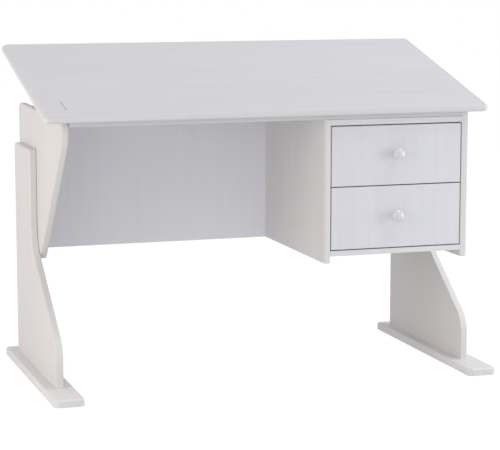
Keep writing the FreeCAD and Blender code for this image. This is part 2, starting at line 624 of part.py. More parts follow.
def stay_arm(near, far):
    """A slotted arm between two X values, hung from its pivot and passing over the stud."""
    x = span(near, far)
    shortest = (pivot_at(0.0) - STUD_POINT).Length
    longest = (pivot_at(STEEPEST_TILT) - STUD_POINT).Length
    tail = longest + ARM_TAIL

    def strip(radius, top, bottom):
        ends = [rod(radius, V(x[0], 0, z), RIGHTWARD, ARM_THICK) for z in (top, bottom)]
        return merged(block(x, (-radius, radius), (bottom, top)), *ends)

    slot_radius = STUD_RADIUS + SLOT_PLAY
    slot = strip(slot_radius, SLOT_PLAY - shortest, -SLOT_PLAY - longest)
    eye = rod(PIVOT_RADIUS + PIVOT_PLAY, V(x[0], 0, 0), RIGHTWARD, ARM_THICK)
    arm = strip(ARM_WIDTH / 2, 0.0, -tail).cut([slot, eye])
    pivot = pivot_at(REST_TILT)
    lean = math.degrees(math.atan2(STUD_POINT.y - pivot.y, pivot.z - STUD_POINT.z))
    arm.rotate(V(0, 0, 0), RIGHTWARD, lean)
    arm.translate(V(0, pivot.y, pivot.z))
    return arm


def clamp_grip(start, inward):
    """A lobed grip on a round hub, with the hub against the arm."""
    hub = rod(HUB_RADIUS, start, inward, HUB_LENGTH)
    base = start + inward * HUB_LENGTH
    grip = rod(GRIP_RADIUS, base, inward, GRIP_LENGTH)
    scallops = []
    for index in range(GRIP_LOBES):
        angle = 2 * math.pi * index / GRIP_LOBES
        offset = V(0, math.cos(angle), math.sin(angle)) * (GRIP_RADIUS + SCALLOP_RADIUS / 2)
        scallops.append(rod(SCALLOP_RADIUS, base + offset, inward, GRIP_LENGTH))
    return merged(hub, grip.cut(scallops))


def tilt_stays():
    for name, side in (("left", -1), ("right", 1)):
        wall = name + "_side"
        inward = RIGHTWARD * -side

        def inside(distance):
            return side * (SIDE_INNER - distance)

        arm_near, arm_far = ARM_STANDOFF, ARM_STANDOFF + ARM_THICK
        flange_near = arm_far + STAY_GAP
        flange_far = flange_near + BRACKET_THICK
        boards[name + "_stay_arm"] = stay_arm(inside(arm_near), inside(arm_far))

        pivot = FLAT_PIVOT
        y = (pivot.y - BRACKET_HALF, pivot.y + BRACKET_HALF)
        flange_x = min(inside(flange_near), inside(flange_far))
        tip = pivot.z - BRACKET_TIP
        flange = rounded_plate([
            (V(flange_x, y[0], TOP_UNDERSIDE), 0.0),
            (V(flange_x, y[0], tip), BRACKET_TIP),
            (V(flange_x, y[1], tip), BRACKET_TIP),
            (V(flange_x, y[1], TOP_UNDERSIDE), 0.0),
        ], RIGHTWARD * BRACKET_THICK)
        shelf_x = span(inside(flange_near), inside(flange_near + BRACKET_WIDTH))
        shelf = block(shelf_x, y, (TOP_UNDERSIDE - BRACKET_THICK, TOP_UNDERSIDE))
        eye_start = V(inside(flange_near), pivot.y, pivot.z)
        eye = rod(PIVOT_RADIUS + FIT, eye_start, inward, BRACKET_THICK)
        bracket = merged(flange, shelf).cut(eye)
        screw_x = inside((flange_far + flange_near + BRACKET_WIDTH) / 2)
        for offset in (-BRACKET_HALF / 2, BRACKET_HALF / 2):
            seat = V(screw_x, pivot.y + offset, TOP_UNDERSIDE - BRACKET_THICK)
            screw("stay_bracket_screws", seat, UPWARD, TOP_SCREW, "tabletop")
            bracket = bracket.cut(countersunk(seat, UPWARD, TOP_SCREW, FIT))
        add("stay_brackets", bracket)

        rivet_start = V(inside(arm_near - STAY_GAP), pivot.y, pivot.z)
        rivet_length = flange_far - arm_near + STAY_GAP
        tail_head = rod(RIVET_HEAD_RADIUS, rivet_start, inward * -1, RIVET_HEAD)
        shank = rod(PIVOT_RADIUS, rivet_start, inward, rivet_length)
        front_head = rod(RIVET_HEAD_RADIUS, rivet_start + inward * rivet_length, inward, RIVET_HEAD)
        add("stay_rivets", merged(shank, tail_head, front_head))

        seat = V(inside(0.0), STUD_POINT.y, STUD_POINT.z)
        sleeve = rod(INSERT_RADIUS, seat, inward * -1, INSERT_DEPTH)
        collar = rod(COLLAR_RADIUS, seat, inward, COLLAR_THICK)
        insert_start = seat - inward * INSERT_DEPTH
        thread = rod(STUD_RADIUS + FIT, insert_start, inward, INSERT_DEPTH + COLLAR_THICK)
        add("stay_inserts", merged(sleeve, collar).cut(thread))
        drill(wall, rod(INSERT_RADIUS + FIT, seat, inward * -1, INSERT_DEPTH))

        hub_start = seat + inward * (arm_far + STAY_GAP)
        stud_start = insert_start + inward * STUD_END_GAP
        stud_length = INSERT_DEPTH - STUD_END_GAP + arm_far + STAY_GAP + HUB_LENGTH + GRIP_LENGTH / 2
        stud = rod(STUD_RADIUS, stud_start, inward, stud_length)
        bore = rod(STUD_RADIUS + FIT, stud_start, inward, stud_length)
        add(name + "_stay_stud", stud)
        add(name + "_stay_knob", clamp_grip(hub_start, inward).cut(bore))


def drawer_knob(base):
    """A turned knob: a foot, a waist and a domed head, about an axis that comes forward from its base."""
    def at(radius, out):
        return base + V(radius, -out, 0)

    def on_arc(centre_radius, centre_out, radius, angle):
        return at(centre_radius + radius * math.cos(angle), centre_out + radius * math.sin(angle))

    # The rim is a small bead, and the dome is the sphere that meets it without a corner
    rim_radius = KNOB_RADIUS - KNOB_EASE
    bead_reach = KNOB_LENGTH - KNOB_EASE
    dome_out = (bead_reach ** 2 - rim_radius ** 2 - KNOB_RIM ** 2) / (2 * (bead_reach - KNOB_RIM))
    dome_radius = KNOB_LENGTH - dome_out
    meeting_angle = math.atan2(KNOB_RIM - dome_out, rim_radius)
    bead_start = at(rim_radius, KNOB_RIM - KNOB_EASE)
    bead_middle = on_arc(rim_radius, KNOB_RIM, KNOB_EASE, (meeting_angle - math.pi / 2) / 2)
    meeting = on_arc(rim_radius, KNOB_RIM, KNOB_EASE, meeting_angle)
    dome_middle = on_arc(0, dome_out, dome_radius, (meeting_angle + math.pi / 2) / 2)
    waist_start, waist_end = at(KNOB_FOOT_RADIUS, KNOB_FOOT), at(KNOB_FOOT_RADIUS, KNOB_NECK_END)
    waist_middle = at(KNOB_NECK_RADIUS, (KNOB_FOOT + KNOB_NECK_END) / 2)
    edges = [
        Part.LineSegment(at(0, 0), at(KNOB_FOOT_RADIUS, 0)),
        Part.LineSegment(at(KNOB_FOOT_RADIUS, 0), waist_start),
        Part.Arc(waist_start, waist_middle, waist_end),
        Part.LineSegment(waist_end, bead_start),
        Part.Arc(bead_start, bead_middle, meeting),
        Part.Arc(meeting, dome_middle, at(0, KNOB_LENGTH)),
        Part.LineSegment(at(0, KNOB_LENGTH), at(0, 0)),
    ]
    outline = Part.Wire([edge.toShape() for edge in edges])
    return Part.Face(outline).revolve(base, BACKWARD, 360)


def drawer(name, front_bottom, front_height):
    case_middle = (DIVIDER_RIGHT + SIDE_INNER) / 2
    front_x = (DIVIDER_RIGHT + REVEAL, SIDE_INNER - REVEAL)
    box_x = (DIVIDER_RIGHT + DRAWER_SIDE_GAP, SIDE_INNER - DRAWER_SIDE_GAP)
    inner_x = (box_x[0] + DRAWER_WALL, box_x[1] - DRAWER_WALL)
    box_end = FRONT_BACK + DRAWER_LENGTH
    low = front_bottom + DRAWER_RISE
    height = front_height - DRAWER_RISE - DRAWER_DROP
    high = low + height
    panel_low, panel_high = low + PANEL_RISE, low + PANEL_RISE + PANEL_THICK
    front, back, bottom = name + "_front", name + "_back", name + "_bottom"

    slab = block(front_x, (CASE_FRONT, FRONT_BACK), (front_bottom, front_bottom + front_height))
    boards[front] = eased(slab, SMALL_EASE, lambda box: box.YMax < CASE_FRONT + FIT)
    boards[back] = block(inner_x, (box_end - DRAWER_WALL, box_end), (panel_high + GROOVE_PLAY, high))
    seat_x = (inner_x[0] - GROOVE_DEPTH, inner_x[1] + GROOVE_DEPTH)
    panel_x = (seat_x[0] + GROOVE_PLAY, seat_x[1] - GROOVE_PLAY)
    panel_front = FRONT_BACK - GROOVE_DEPTH
    boards[bottom] = block(panel_x, (panel_front + GROOVE_PLAY, box_end), (panel_low, panel_high))
    groove = block(seat_x, (panel_front, box_end), (panel_low - GROOVE_PLAY, panel_high + GROOVE_PLAY))
    drill(front, groove)

    runner_middle = (low + high) / 2
    runner_z = (runner_middle - RUNNER_HEIGHT / 2, runner_middle + RUNNER_HEIGHT / 2)
    track_z = (runner_z[0] - RUNNER_PLAY, runner_z[1] + RUNNER_PLAY)
    runner_y = (RUNNER_START, RUNNER_START + RUNNER_LENGTH)
    dowels = name + "_dowels"
    walls = (("left", box_x[0], inner_x[0], DIVIDER_RIGHT, RIGHTWARD, "drawer_divider"),
             ("right", box_x[1], inner_x[1], SIDE_INNER, RIGHTWARD * -1, "right_side"))
    for hand, outer, inner, case_face, inward, case_wall in walls:
        wall = name + "_" + hand + "_side"
        runner = name + "_" + hand + "_runner"
        boards[wall] = block(span(outer, inner), (FRONT_BACK, box_end), (low, high))
        runner_face = case_face + inward.x * RUNNER_WIDTH
        channel_end = runner_face + inward.x * RUNNER_PLAY
        drill(wall, groove, block(span(outer, channel_end), (FRONT_BACK, box_end), track_z))
        boards[runner] = block(span(case_face, runner_face), runner_y, runner_z)
        step = (RUNNER_LENGTH - 2 * RUNNER_SCREW_INSET) / (RUNNER_SCREWS - 1)
        for index in range(RUNNER_SCREWS):
            seat = V(runner_face, runner_y[0] + RUNNER_SCREW_INSET + step * index, runner_middle)
            screw("runner_screws", seat, inward * -1, RUNNER_SCREW, runner, case_wall)
        for offset in (DRAWER_DOWEL_INSET, height - DRAWER_DOWEL_INSET):
            front_meeting = V((outer + inner) / 2, FRONT_BACK, low + offset)
            dowel(dowels, front_meeting, BACKWARD * -1, front, wall)
            back_meeting = V(inner, box_end - DRAWER_WALL / 2, low + offset)
            dowel(dowels, back_meeting, inward * -1, wall, back, DOWEL_RADIUS, BACK_DOWEL_DEPTH, DOWEL_DEEP)

    knob_base = V(case_middle, CASE_FRONT, front_bottom + front_height / 2 + KNOB_RISE)
    screw_start = knob_base + BACKWARD * BOARD
    screw_length = BOARD + KNOB_SCREW_BITE
    hole = rod(KNOB_SCREW_RADIUS + FIT, screw_start, BACKWARD * -1, screw_length)
    boards[name + "_knob"] = drawer_knob(knob_base)
    drill(name + "_knob", hole)
    drill(front, hole)
    shank = rod(KNOB_SCREW_RADIUS, screw_start, BACKWARD * -1, screw_length)
    head = rod(KNOB_SCREW_HEAD_RADIUS, screw_start, BACKWARD, KNOB_SCREW_HEAD)
    add(name + "_knob_screw", merged(shank, head))


feet_and_legs()
upper_frame()
height_clamps()
frame_joints()
tabletop()
hinges()
tilt_stays()
drawer("lower_drawer", CASE_FLOOR + REVEAL, LOWER_FRONT)
drawer("upper_drawer", CASE_FLOOR + 2 * REVEAL + LOWER_FRONT, UPPER_FRONT)

# What tilts with the top, drawn flat above
TILTING = ("tabletop", "hinge_upper_leaves", "hinge_upper_screws",
           "stay_brackets", "stay_bracket_screws", "stay_rivets")

solids = {node: [board.cut(cutters[node]) if node in cutters else board] for node, board in boards.items()}
solids.update(hardware)
os.makedirs("parts", exist_ok=True)
for node, pieces in solids.items():
    if node in TILTING:
        pieces = [tilted(piece) for piece in pieces]
    shape = pieces[0] if len(pieces) == 1 else Part.makeCompound(pieces)
    shape.exportStep("parts/" + node + ".step")
    print(node, len(shape.Solids), round(shape.Volume), shape.isValid())
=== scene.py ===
import math

import bpy
import bmesh
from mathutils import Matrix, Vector

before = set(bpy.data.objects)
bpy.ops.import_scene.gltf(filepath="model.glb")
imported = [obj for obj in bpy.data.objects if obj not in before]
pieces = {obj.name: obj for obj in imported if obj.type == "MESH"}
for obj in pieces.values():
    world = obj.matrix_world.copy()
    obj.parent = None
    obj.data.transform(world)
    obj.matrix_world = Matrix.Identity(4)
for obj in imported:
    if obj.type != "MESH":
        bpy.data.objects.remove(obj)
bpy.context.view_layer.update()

# The hinge line, just behind the top's front edge and under it, in metres, and the top's tilt at rest.
# Both are as in the CAD.
HINGE_LINE = Vector((0, -0.222, 0.6433))
HINGE_AXIS = (1, 0, 0)
TOP_TILT = math.radians(15)

# Sockets of a Mix node that mixes colours
MIX_SHARE, MIX_FIRST, MIX_SECOND, MIX_COLOUR = 0, 6, 7, 2


class Shade:
    """One output socket of a finish. Arithmetic on it adds Math nodes to the finish."""

    def __init__(self, tree, socket=None):
        self.tree = tree
        self.socket = socket

    def node(self, kind, settings=None, inputs=None, output=0):
        """Adds a node: its settings first, then values or links for its sockets.
        Returns one of its outputs."""
        made = self.tree.nodes.new("ShaderNode" + kind)
        for name, value in (settings or {}).items():
            setattr(made, name, value)
        for name, value in (inputs or {}).items():
            if isinstance(value, Shade):
                self.tree.links.new(value.socket, made.inputs[name])
            else:
                made.inputs[name].default_value = value
        return Shade(self.tree, made.outputs[output] if made.outputs else None)

    def maths(self, operation, *values):
        return self.node("Math", {"operation": operation}, dict(enumerate(values)))

    def apply(self, operation, *others):
        """A Math node with this value first."""
        return self.maths(operation, self, *others)

    def __add__(self, other):
        return self.maths("ADD", self, other)

    def __radd__(self, other):
        return self.maths("ADD", other, self)

    def __sub__(self, other):
        return self.maths("SUBTRACT", self, other)

    def __rsub__(self, other):
        return self.maths("SUBTRACT", other, self)

    def __mul__(self, other):
        return self.maths("MULTIPLY", self, other)

    def __rmul__(self, other):
        return self.maths("MULTIPLY", other, self)

    def __truediv__(self, other):
        return self.maths("DIVIDE", self, other)

    def __abs__(self):
        return self.apply("ABSOLUTE")

    def ramp(self, low, high):
        """0 below low, 1 above high, and a smooth step between."""
        span = {"Value": self, "From Min": low, "From Max": high}
        return self.node("MapRange", {"interpolation_type": "SMOOTHSTEP"}, span)

    def tint(self, first, second):
        """From the first colour to the second as this value goes from 0 to 1."""
        sockets = {MIX_SHARE: self, MIX_FIRST: first, MIX_SECOND: second}
        return self.node("Mix", {"data_type": "RGBA"}, sockets, MIX_COLOUR)


def rgb(red, green, blue):
    """A colour as it is read off a screen, 0 to 255, in the linear values that shaders take."""
    values = []
    for level in (red, green, blue):
        share = level / 255
        values.append(share / 12.92 if share <= 0.04045 else ((share + 0.055) / 1.055) ** 2.4)
    return (*values, 1.0)


def finish(name):
    """An empty finish: its material, and a Shade from which its first nodes are made."""
    material = bpy.data.materials.new(name)
    material.use_nodes = True
    tree = material.node_tree
    tree.nodes.clear()
    return material, Shade(tree)


def close(start, colour, roughness, relief, depth, **fixed):
    """Ends a finish: what varies over it, a bump with its depth in metres,
    and the sockets that are the same all over."""
    bump = start.node("Bump", inputs={"Height": relief, "Distance": depth, "Strength": 1.0})
    sockets = {"Base Color": colour, "Roughness": roughness, "Normal": bump}
    sockets.update((name.replace("_", " "), value) for name, value in fixed.items())
    shader = start.node("BsdfPrincipled", inputs=sockets)
    start.node("OutputMaterial", inputs={"Surface": shader})


def noise(start, place, scale, detail, roughness=0.5):
    """A cloudy pattern, about 0.5 on the mean."""
    cloudy = {"Vector": place, "Scale": scale, "Detail": detail, "Roughness": roughness}
    return start.node("TexNoise", inputs=cloudy)


def stretch(start, place, scales):
    return start.node("Mapping", inputs={"Vector": place, "Scale": scales})


def growth_rings(swell, closeness):
    """Growth rings are the contour lines of a long, slow swell."""
    return (swell * closeness).apply("SINE") * 0.5 + 0.5


def board_axes(start, along, face, turn):
    """A board's own coordinates: across its face, through its thickness and along its grain.
    Also how squarely the surface looks out of that face."""
    place = start.node("TexCoord", output="Object")
    normal = start.node("TexCoord", output="Normal")
    if turn:
        level = {"Axis": HINGE_AXIS, "Angle": -turn}
        place = start.node("VectorRotate", inputs={"Vector": place, "Center": HINGE_LINE, **level})
        normal = start.node("VectorRotate", inputs={"Vector": normal, **level})
    across = ({"X", "Y", "Z"} - {along, face}).pop()
    order = (across, face, along)
    parts = [start.node("SeparateXYZ", inputs={"Vector": place}, output=axis) for axis in order]
    facing = start.node("SeparateXYZ", inputs={"Vector": normal}, output=face)
    return parts, facing


# The layers of the pine's grain: repeats in a metre across and along the board, detail,
# and how far one stave's piece of the tree is from the next one's
SWELL = (7.0, 0.8, 1.5, 31.0)
FIBRES = (230.0, 5.0, 2.0, 17.0)
STREAKS = (60.0, 1.6, 3.0, 43.0)
CLOUDS = (5.0, 2.2, 2.0, 11.0)
GRAIN_ROUGHNESS = 0.55
PINE_RINGS = 60.0
STREAK_SPAN, FIBRE_SPAN = (0.3, 0.8), (0.4, 0.75)
RING_SHARE, STREAK_SHARE, FIBRE_SHARE = 0.20, 0.30, 0.50

# Knots: longer along the grain, uneven, with rings of their own
KNOT_LENGTHEN, KNOT_WOBBLE, KNOT_RINGS = 2.6, 0.6, 16.0
KNOT_FADE = (0.2, 1.3)
KNOT_TONE, KNOT_RING_TONE = 0.75, 0.25

# Tones of the wash: from stave to stave, in clouds and at the seams. Whiter edges, partly wash and partly
# painted light, and painted light that lifts the shade in the routed mark
STAVE_TONE, CLOUD_TONE = 0.012, 0.04
SEAM_SPAN, SEAM_SHARE, SEAM_GREY = (0.493, 0.499), 0.12, rgb(186, 180, 176)
EDGE_SPAN, EDGE_WASH_AND_LIGHT_WHITE = (0.15, 0.75), rgb(235, 234, 236)
# The routed mark's mask, and the painted light that lifts the shade inside it
MARK_SIDE, MARK_MOUTH = (0.0, 0.0005), (0.0005, 0.0015)
MARK_LIGHT_SHARE, MARK_PAINTED_LIGHT = 0.7, rgb(245, 244, 245)

# The lacquer's surface, and the relief under it in metres
PINE_ROUGHNESS, FIGURE_ROUGHNESS, CLOUD_ROUGHNESS = 0.52, 0.12, 0.10
FIGURE_RELIEF, FIBRE_RELIEF, SEAM_RELIEF = -0.6, 0.4, -0.8
PINE_RELIEF = 0.00008
PINE_IOR = 1.46


def washed_pine(name, along, face, light, dark, stave, seed, edge_wash_and_light=0.2,
                turn=0.0, shift=0.0, knots=(), mark=None):
    """White-washed, edge-glued pine under satin lacquer."""
    material, start = finish(name)
    (across, through, length), facing = board_axes(start, along, face, turn)

    # Glued staves, each with its own tone and its own piece of the tree
    strip = (across + shift) / stave
    index = strip.apply("FLOOR")
    tone = start.node("TexWhiteNoise", {"noise_dimensions": "1D"}, {"W": index + seed})
    seam = abs(strip - index - 0.5).ramp(*SEAM_SPAN)

    def grain(across_scale, length_scale, detail, slip):
        along_grain = length * length_scale + tone * slip + seed
        spot = {"X": across * across_scale, "Y": through * across_scale, "Z": along_grain}
        return noise(start, start.node("CombineXYZ", inputs=spot), 1.0, detail, GRAIN_ROUGHNESS)

    rings = growth_rings(grain(*SWELL), PINE_RINGS)
    fibres = grain(*FIBRES)
    streaks = grain(*STREAKS)
    clouds = grain(*CLOUDS)

    figured = rings * RING_SHARE + streaks.ramp(*STREAK_SPAN) * STREAK_SHARE
    figured = figured + fibres.ramp(*FIBRE_SPAN) * FIBRE_SHARE
    for knot_across, knot_length, knot_size in knots:
        wobble = (clouds - 0.5) * KNOT_WOBBLE
        far_across = (across - knot_across) / knot_size + wobble
        far_length = (length - knot_length) / (knot_size * KNOT_LENGTHEN) + wobble
        distance = (far_across * far_across + far_length * far_length).apply("SQRT")
        eye = 1.0 - distance.ramp(*KNOT_FADE)
        ringed = KNOT_TONE + KNOT_RING_TONE * (distance * KNOT_RINGS).apply("SINE")
        figured = figured.apply("MAXIMUM", eye * ringed)

    shade = (tone - 0.5) * STAVE_TONE + (clouds - 0.5) * CLOUD_TONE
    toned = {"Color": figured.tint(light, dark), "Value": shade + 1.0}
    colour = start.node("HueSaturation", inputs=toned)
    colour = (seam * SEAM_SHARE).tint(colour, SEAM_GREY)

    # The sawn and rounded edges are painted whiter: partly more of the wash, partly painted light, which on
    # the top's front nose stands in for the light falling on it
    edge = 1.0 - abs(facing).ramp(*EDGE_SPAN)
    colour = (edge * edge_wash_and_light).tint(colour, EDGE_WASH_AND_LIGHT_WHITE)
    if mark:
        # Painted light in the routed mark: the recess is made lighter to lift its own shade
        (mark_across, half_across), (mark_length, half_length), mouth = mark
        inside = (half_across - abs(across - mark_across)).ramp(*MARK_SIDE)
        inside = inside * (half_length - abs(length - mark_length)).ramp(*MARK_SIDE)
        inside = inside * (mouth - through).ramp(*MARK_MOUTH)
        colour = (inside * MARK_LIGHT_SHARE).tint(colour, MARK_PAINTED_LIGHT)

    roughness = PINE_ROUGHNESS + figured * FIGURE_ROUGHNESS + (clouds - 0.5) * CLOUD_ROUGHNESS
    relief = figured * FIGURE_RELIEF + fibres * FIBRE_RELIEF + seam * SEAM_RELIEF
    close(start, colour, roughness, relief, PINE_RELIEF, IOR=PINE_IOR)
    return material


# Skins of the metals: how much finer they are along X, Y and Z, their relief in metres, and their tarnish
EVEN_SKIN = (40.0, 40.0, 40.0)
CAST_SKIN = (60.0, 60.0, 60.0)
BRUSHED_ALONG_X = (8.0, 90.0, 90.0)
DRAWN_ALONG_Z = (90.0, 90.0, 4.0)
PLATED_RELIEF, CAST_RELIEF = 0.00003, 0.0001
SKIN_SCALE, SKIN_SPAN, SKIN_SHARE, SKIN_ROUGHNESS = 10.0, (0.4, 0.8), 0.4, 0.22
TARNISH_SCALE, TARNISH_SPAN, TARNISH_SHARE, TARNISH_ROUGHNESS = 30.0, (0.35, 0.75), 0.5, 0.12
TARNISHED = 0.78


def metal(name, colour, rough, brush=EVEN_SKIN, depth=PLATED_RELIEF):
    """Plated or cast metal with a faint brushed or grainy skin."""
    material, start = finish(name)
    place = start.node("TexCoord", output="Object")
    skin = noise(start, stretch(start, place, brush), SKIN_SCALE, 3.0, 0.6)
    tarnish = noise(start, place, TARNISH_SCALE, 2.0)
    dull = tuple(part * TARNISHED for part in colour[:3]) + (1.0,)
    worn = tarnish.ramp(*TARNISH_SPAN) * TARNISH_SHARE + skin.ramp(*SKIN_SPAN) * SKIN_SHARE
    roughness = rough + (skin - 0.5) * SKIN_ROUGHNESS + (tarnish - 0.5) * TARNISH_ROUGHNESS
    close(start, worn.tint(colour, dull), roughness, skin, depth, Metallic=1.0)
    return material


# Bare wood: repeats across and along its grain, and how its rings, fine grain and flecks mix
BARE_ACROSS, BARE_ALONG, BARE_SLOWER = 60.0, 1.5, 8
BARE_FINE, BARE_SWELL, BARE_RINGS = 3.0, 1.6, 50.0
BARE_RING_SHARE, BARE_FINE_SHARE, BARE_FINE_SPAN = 0.55, 0.45, (0.35, 0.75)
FLECK_SHORTER, FLECK_SCALE, FLECK_SPAN, BEECH_FLECK = 2.5, 9.0, (0.62, 0.72), 0.35
BARE_ROUGHNESS, BARE_FIGURE_ROUGHNESS = 0.62, 0.12
BARE_RELIEF, BARE_IOR = 0.00015, 1.45


def bare_wood(name, along, light, dark, fleck=0.0):
    """Planed wood with no finish, for the inside of the drawers, the runners and the dowels."""
    material, start = finish(name)
    place = start.node("TexCoord", output="Object")
    scales = tuple(BARE_ALONG if axis == along else BARE_ACROSS for axis in "XYZ")
    slow = tuple(part / BARE_SLOWER for part in scales)
    fine = noise(start, stretch(start, place, scales), BARE_FINE, 4.0)
    rings = growth_rings(noise(start, stretch(start, place, slow), BARE_SWELL, 1.5), BARE_RINGS)
    figured = rings * BARE_RING_SHARE + fine.ramp(*BARE_FINE_SPAN) * BARE_FINE_SHARE
    if fleck:
        short = tuple(part * FLECK_SHORTER for part in scales)
        dash = noise(start, stretch(start, place, short), FLECK_SCALE, 1.0)
        figured = figured + dash.ramp(*FLECK_SPAN) * fleck
    roughness = BARE_ROUGHNESS + figured * BARE_FIGURE_ROUGHNESS
    close(start, figured.tint(light, dark), roughness, figured * -1.0, BARE_RELIEF, IOR=BARE_IOR)
    return material


# Repeats along X, Y and Z of the rings that the lathe leaves on a knob
LATHE_RINGS = (6.0, 900.0, 6.0)
KNOB_CLOUDS, KNOB_CLOUD_SHARE, KNOB_LATHE_SHARE, KNOB_SPAN = 90.0, 0.6, 0.4, (0.3, 0.8)
KNOB_LIGHT, KNOB_DARK = rgb(222, 219, 226), rgb(207, 204, 212)
KNOB_ROUGHNESS, KNOB_CLOUD_ROUGHNESS = 0.20, 0.12
KNOB_RELIEF = 0.00004


def knob_lacquer():
    """White lacquer over turned wood, with the lathe's faint rings."""
    material, start = finish("knob_lacquer")
    place = start.node("TexCoord", output="Object")
    cloud = noise(start, place, KNOB_CLOUDS, 2.0)
    lathe = noise(start, stretch(start, place, LATHE_RINGS), 1.0, 2.0)
    mottled = (cloud * KNOB_CLOUD_SHARE + lathe * KNOB_LATHE_SHARE).ramp(*KNOB_SPAN)
    roughness = KNOB_ROUGHNESS + cloud * KNOB_CLOUD_ROUGHNESS
    close(start, mottled.tint(KNOB_LIGHT, KNOB_DARK), roughness, lathe, KNOB_RELIEF,
          IOR=1.5, Coat_Weight=0.4, Coat_Roughness=0.1)
    return material


# Fibre board of the drawer bottoms: its two faces, and where one turns into the other
BOARD_FIBRES, BOARD_CLOUDS = 420.0, 14.0
BOARD_WHITE_SPAN, BOARD_WHITES = (0.3, 0.75), (rgb(229, 227, 224), rgb(214, 211, 207))
BOARD_BROWN_SPAN, BOARD_BROWNS = (0.3, 0.7), (rgb(150, 112, 78), rgb(108, 76, 50))
BOARD_FACE_SPAN = (0.2, 0.8)
BROWN_ROUGHNESS, WHITE_SMOOTHER, BOARD_FIBRE_ROUGHNESS = 0.8, 0.35, 0.1
BOARD_RELIEF = 0.0001


def drawer_board():
    """Thin fibre board with a white face above and a brown pressed back."""
    material, start = finish("drawer_board")
    place = start.node("TexCoord", output="Object")
    normal = start.node("TexCoord", output="Normal")
    above = start.node("SeparateXYZ", inputs={"Vector": normal}, output="Z").ramp(*BOARD_FACE_SPAN)
    fibres = noise(start, place, BOARD_FIBRES, 4.0, 0.7)
    cloud = noise(start, place, BOARD_CLOUDS, 3.0)
    white = (fibres * 0.5 + cloud * 0.5).ramp(*BOARD_WHITE_SPAN).tint(*BOARD_WHITES)
    brown = fibres.ramp(*BOARD_BROWN_SPAN).tint(*BOARD_BROWNS)
    roughness = BROWN_ROUGHNESS - above * WHITE_SMOOTHER + (fibres - 0.5) * BOARD_FIBRE_ROUGHNESS
    close(start, above.tint(brown, white), roughness, fibres, BOARD_RELIEF)
    return material


# Moulded plastic of the stay knobs
SPARK_SCALE, SPARK_ROUGHNESS, SPARK_RELIEF = 1500.0, 0.14, 0.00008
GRIP_CLOUDS, GRIP_SPAN, GRIP_BLACKS = 60.0, (0.35, 0.75), (rgb(30, 30, 32), rgb(46, 46, 48))
GRIP_ROUGHNESS, GRIP_CLOUD_ROUGHNESS = 0.46, 0.1


def grip_plastic():
    """Black moulded plastic with a fine spark-eroded texture."""
    material, start = finish("grip_plastic")
    place = start.node("TexCoord", output="Object")
    spark = noise(start, place, SPARK_SCALE, 2.0)
    cloud = noise(start, place, GRIP_CLOUDS, 3.0)
    roughness = GRIP_ROUGHNESS + spark * SPARK_ROUGHNESS + (cloud - 0.5) * GRIP_CLOUD_ROUGHNESS
    close(start, cloud.ramp(*GRIP_SPAN).tint(*GRIP_BLACKS), roughness, spark, SPARK_RELIEF)
    return material


# The top's finish, in metres on the level top. Its staves start at the front edge.
# The routed mark: middle and half size across and along, with a margin around it, and the surface's height.
# The knots: place across and along, and size.
TOP_FRONT = -0.238
TOP_MARK = ((-0.1665, 0.031), (-0.491, 0.006), 0.6616)
TOP_KNOTS = ((0.13, 0.27, 0.016), (0.02, 0.36, 0.014), (0.03, 0.20, 0.012))

# Washed boards: the axis of the grain, the axis of the face, light and dark wash,
# and the width of a stave in metres
# The top's edges get the most painted light, which brightens its front nose
top_pine = washed_pine(
    "top_pine", "X", "Z", rgb(210, 206, 210), rgb(205, 201, 205), stave=0.095, seed=3.0, edge_wash_and_light=0.45,
    turn=TOP_TILT, shift=-TOP_FRONT, knots=TOP_KNOTS, mark=TOP_MARK)
upright_pine = washed_pine(
    "upright_pine", "Z", "X", rgb(220, 215, 215), rgb(216, 211, 210), stave=0.085, seed=11.0)
# The divider's wash is lighter than the uprights': painted light that offsets the shade of the knee space
divider_pine_painted_light = washed_pine(
    "divider_pine_painted_light", "Z", "X", rgb(224, 220, 221), rgb(220, 216, 216), stave=0.085, seed=17.0)
# The modesty panel's wash is much lighter than the other boards': painted light that offsets the shade
# under the top
panel_pine_painted_light = washed_pine(
    "panel_pine_painted_light", "Z", "Y", rgb(247, 246, 251), rgb(244, 242, 248), stave=0.08, seed=23.0)
front_pine = washed_pine(
    "front_pine", "Z", "Y", rgb(225, 223, 229), rgb(220, 218, 224), stave=0.07, seed=37.0)
foot_pine = washed_pine(
    "foot_pine", "Y", "Z", rgb(226, 223, 224), rgb(218, 214, 215), stave=0.12, seed=5.0, edge_wash_and_light=0.0)
# The front rail's wash is darker than the shelves': painted shade from the top's nose above it
rail_pine_painted_shade = washed_pine(
    "rail_pine_painted_shade", "X", "Z", rgb(214, 212, 214), rgb(205, 203, 206), stave=0.1, seed=53.0, edge_wash_and_light=0.0)
shelf_pine = washed_pine(
    "shelf_pine", "X", "Z", rgb(226, 224, 226), rgb(214, 212, 215), stave=0.1, seed=41.0)

# Bare woods: the axis of the grain, light and dark. Metals: colour and roughness.
drawer_pine = bare_wood("drawer_pine", "Y", rgb(226, 205, 168), rgb(196, 160, 112))
runner_beech = bare_wood("runner_beech", "Y", rgb(206, 170, 128), rgb(178, 136, 96), BEECH_FLECK)
peg_beech = bare_wood("peg_beech", "X", rgb(210, 176, 134), rgb(184, 144, 102), BEECH_FLECK)
zinc = metal("zinc", rgb(196, 198, 202), 0.34)
nickel = metal("nickel", rgb(190, 190, 190), 0.28, BRUSHED_ALONG_X)
cast = metal("cast", rgb(160, 162, 166), 0.48, CAST_SKIN, CAST_RELIEF)
brass = metal("brass", rgb(206, 170, 96), 0.32)
anodised = metal("anodised", rgb(212, 214, 218), 0.42, DRAWN_ALONG_Z)


def each(pair, *parts):
    """The names of the same parts on both of a pair."""
    return [one + part for one in pair for part in parts]


